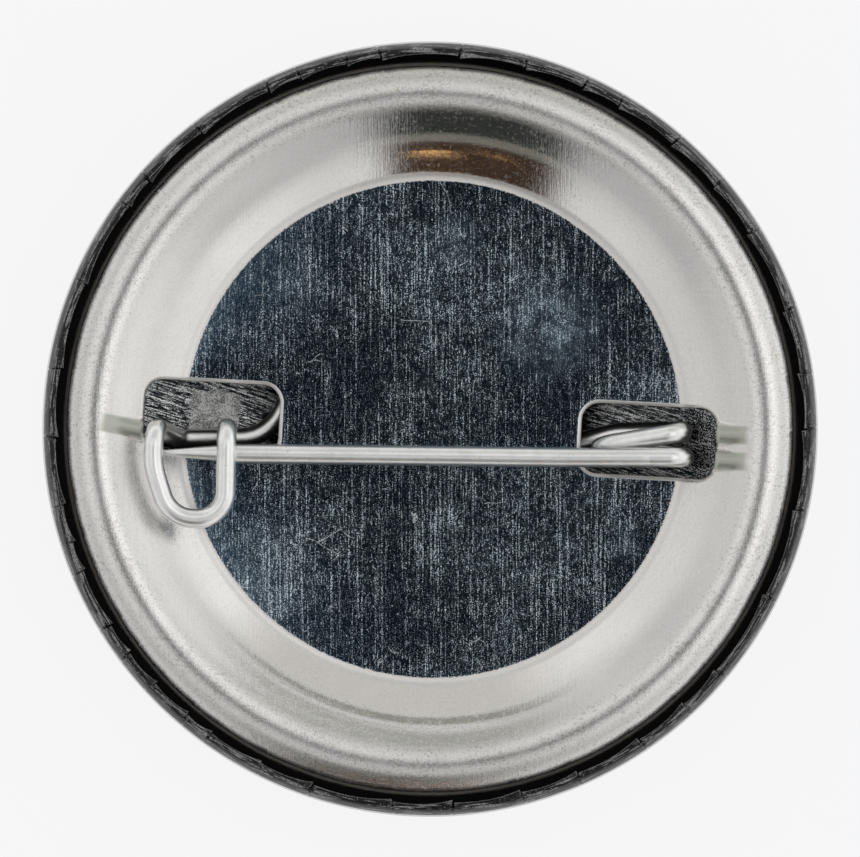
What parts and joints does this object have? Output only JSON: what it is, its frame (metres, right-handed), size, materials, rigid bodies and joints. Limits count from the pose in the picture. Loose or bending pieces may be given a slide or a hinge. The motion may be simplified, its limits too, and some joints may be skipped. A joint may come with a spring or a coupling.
{
  "type": "button badge",
  "caption": "Round pin-back button badge: domed front with a film-wrapped black rim, recessed metal back plate, and a wire safety pin with a coil and a hook catch",
  "frame": {"origin": "centre of the base, under the dome, with the badge lying face down", "axes": "+Z out of the back of the badge, +X along the line of the two windows from the catch to the coil"},
  "size_m": [0.0318, 0.0318, 0.006],
  "materials": {
    "film": "clear glossy film over black print, drawn tight over the edge and crimped behind it",
    "paper": "black printed paper",
    "shell": "bright rolled tinplate",
    "plate": "satin pressed tinplate with a dark mirror-bright flat middle, scratched",
    "wire": "bright nickel-plated spring wire"
  },
  "bodies": {
    "badge": {"clear_film": "film", "printed_disc": "paper", "front_shell": "shell", "back_plate": "plate", "spring_wire": "wire"},
    "pin": {"pin_arm": "wire"}
  },
  "joints": [
    {"name": "pin_swing", "type": "hinge", "parent": "badge", "child": "pin", "pos_m": [0.009, -0.00067, 0.0045], "axis": [-0.813, -0.1567, 0.5608], "range_deg": [0, 170]}
  ]
}
